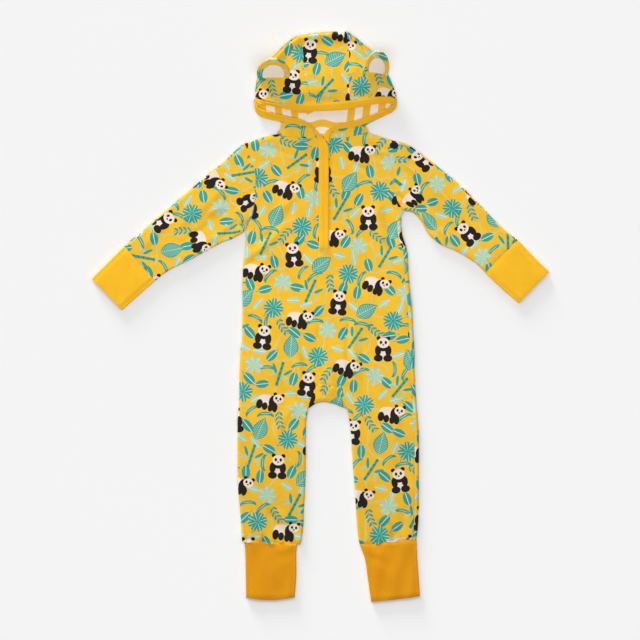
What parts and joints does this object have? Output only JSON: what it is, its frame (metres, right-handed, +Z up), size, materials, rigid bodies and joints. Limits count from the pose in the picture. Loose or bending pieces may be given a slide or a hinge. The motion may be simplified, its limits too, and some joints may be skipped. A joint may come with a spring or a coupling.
{
  "type": "toddler's hooded one-piece with ears",
  "caption": "Child's hooded one-piece suit in printed cotton knit, with ears on the hood, a front placket and ribbed cuffs, lying flat.",
  "frame": {"origin": "middle of the garment's outline, on the surface that it lies on", "axes": "+Z up from that surface, +Y towards the hood, +X towards the wearer's left"},
  "size_m": [0.7314, 0.9122, 0.0439],
  "materials": {
    "print_knit": "soft cotton knit, golden yellow with a leaf and panda print",
    "yellow_rib": "plain golden yellow rib knit",
    "amber_rib": "plain amber rib knit",
    "stripe_knit": "soft cotton knit in cream and yellow stripes",
    "cream_knit": "plain cream cotton knit"
  },
  "bodies": {
    "root": {"front_right": "print_knit", "front_left": "print_knit", "back_right": "print_knit", "back_left": "print_knit", "gusset": "print_knit", "sleeve_right": "print_knit", "sleeve_left": "print_knit", "hood_right": "print_knit", "hood_left": "print_knit", "hood_centre": "print_knit", "ear_right": "print_knit", "ear_left": "print_knit", "ear_inner_right": "cream_knit", "ear_inner_left": "cream_knit", "hood_lining": "stripe_knit", "binding": "yellow_rib", "sleeve_cuff_right": "yellow_rib", "sleeve_cuff_left": "yellow_rib", "leg_cuff_right": "amber_rib", "leg_cuff_left": "amber_rib"}
  },
  "joints": []
}
